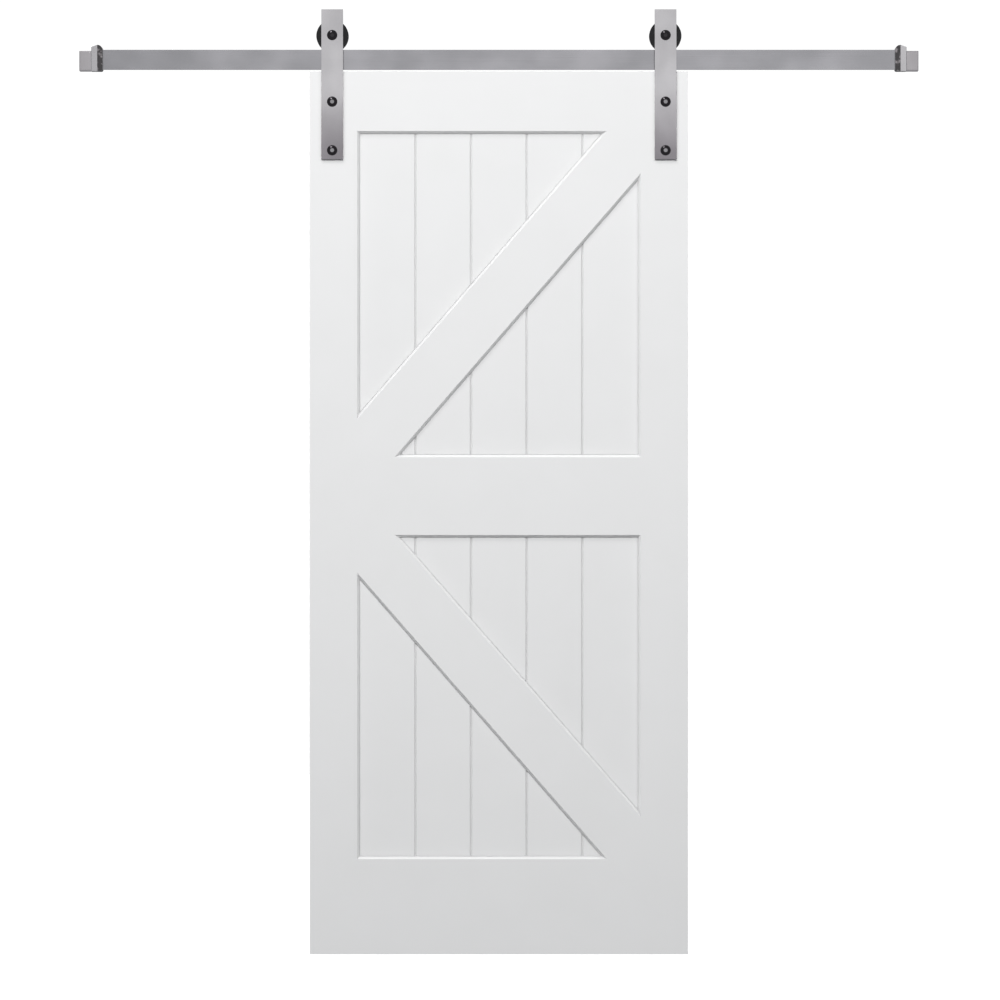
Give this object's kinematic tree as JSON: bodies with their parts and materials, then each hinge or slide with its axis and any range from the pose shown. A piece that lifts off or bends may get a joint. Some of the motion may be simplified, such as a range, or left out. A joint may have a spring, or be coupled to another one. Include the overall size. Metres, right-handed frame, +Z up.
{
  "type": "sliding barn door",
  "caption": "White braced barn door with V-grooved panels, hung from a flat steel rail by straps with grooved wheels, with rubber-faced end stops.",
  "frame": {"origin": "on the wall plane, at the centre of the back face of the middle standoff, behind the middle of the rail", "axes": "+X along the rail to the right as seen from the front, +Y into the wall, +Z up; the door's front faces -Y"},
  "size_m": [2.0294, 0.0659, 2.2834],
  "materials": {
    "door_paint": "white primer on fibreboard, satin",
    "dowel_wood": "raw beech",
    "rail_steel": "stainless, brushed along the rail",
    "strap_steel": "stainless, brushed along the strap",
    "dark_steel": "dark polished",
    "fastener_steel": "turned, satin",
    "bearing_steel": "ground",
    "wheel_nylon": "black nylon",
    "cage_nylon": "black nylon",
    "bumper_rubber": "black, satin"
  },
  "bodies": {
    "track": {"rail": "rail_steel", "standoff_1": "fastener_steel", "standoff_2": "fastener_steel", "standoff_3": "fastener_steel", "standoff_4": "fastener_steel", "standoff_5": "fastener_steel", "rail_spigots": "fastener_steel", "spigot_grub_screws": "dark_steel", "stop_left": "strap_steel", "stop_right": "strap_steel", "stop_set_screws": "dark_steel", "bumper_left": "bumper_rubber", "bumper_right": "bumper_rubber"},
    "door": {"stile_left": "door_paint", "stile_right": "door_paint", "top_rail": "door_paint", "lock_rail": "door_paint", "bottom_rail": "door_paint", "brace_upper": "door_paint", "brace_lower": "door_paint", "panel_upper_left": "door_paint", "panel_upper_right": "door_paint", "panel_lower_left": "door_paint", "panel_lower_right": "door_paint", "frame_dowels": "dowel_wood", "strap_left": "strap_steel", "strap_right": "strap_steel", "strap_bolts": "dark_steel", "strap_washers": "fastener_steel", "strap_nuts": "fastener_steel", "axle_left": "dark_steel", "axle_right": "dark_steel", "front_spacer_left": "fastener_steel", "front_spacer_right": "fastener_steel", "rear_spacer_left": "fastener_steel", "rear_spacer_right": "fastener_steel", "axle_nut_left": "fastener_steel", "axle_nut_right": "fastener_steel", "bearing_inner_left": "bearing_steel", "bearing_inner_right": "bearing_steel", "anti_jump_disc_left": "fastener_steel", "anti_jump_disc_right": "fastener_steel", "disc_screws": "fastener_steel"},
    "wheel_left": {"wheel_left": "wheel_nylon", "bearing_outer_left": "bearing_steel", "bearing_balls_left": "bearing_steel", "bearing_cage_left": "cage_nylon", "bearing_shields_left": "bearing_steel"},
    "wheel_right": {"wheel_right": "wheel_nylon", "bearing_outer_right": "bearing_steel", "bearing_balls_right": "bearing_steel", "bearing_cage_right": "cage_nylon", "bearing_shields_right": "bearing_steel"}
  },
  "joints": [
    {"name": "door_slide", "type": "slide", "parent": "track", "child": "door", "axis": [1, 0, 0], "range_m": [-0.529, 0.529]},
    {"name": "wheel_left_spin", "type": "hinge", "parent": "door", "child": "wheel_left", "pos_m": [-0.4027, -0.039, 0.05725], "axis": [0, 1, 0], "continuous": true},
    {"name": "wheel_right_spin", "type": "hinge", "parent": "door", "child": "wheel_right", "pos_m": [0.4027, -0.039, 0.05725], "axis": [0, 1, 0], "continuous": true}
  ],
  "couplings": [
    {"joint": "wheel_left_spin", "follows": "door_slide", "rad_per_m": 30.303},
    {"joint": "wheel_right_spin", "follows": "door_slide", "rad_per_m": 30.303}
  ]
}
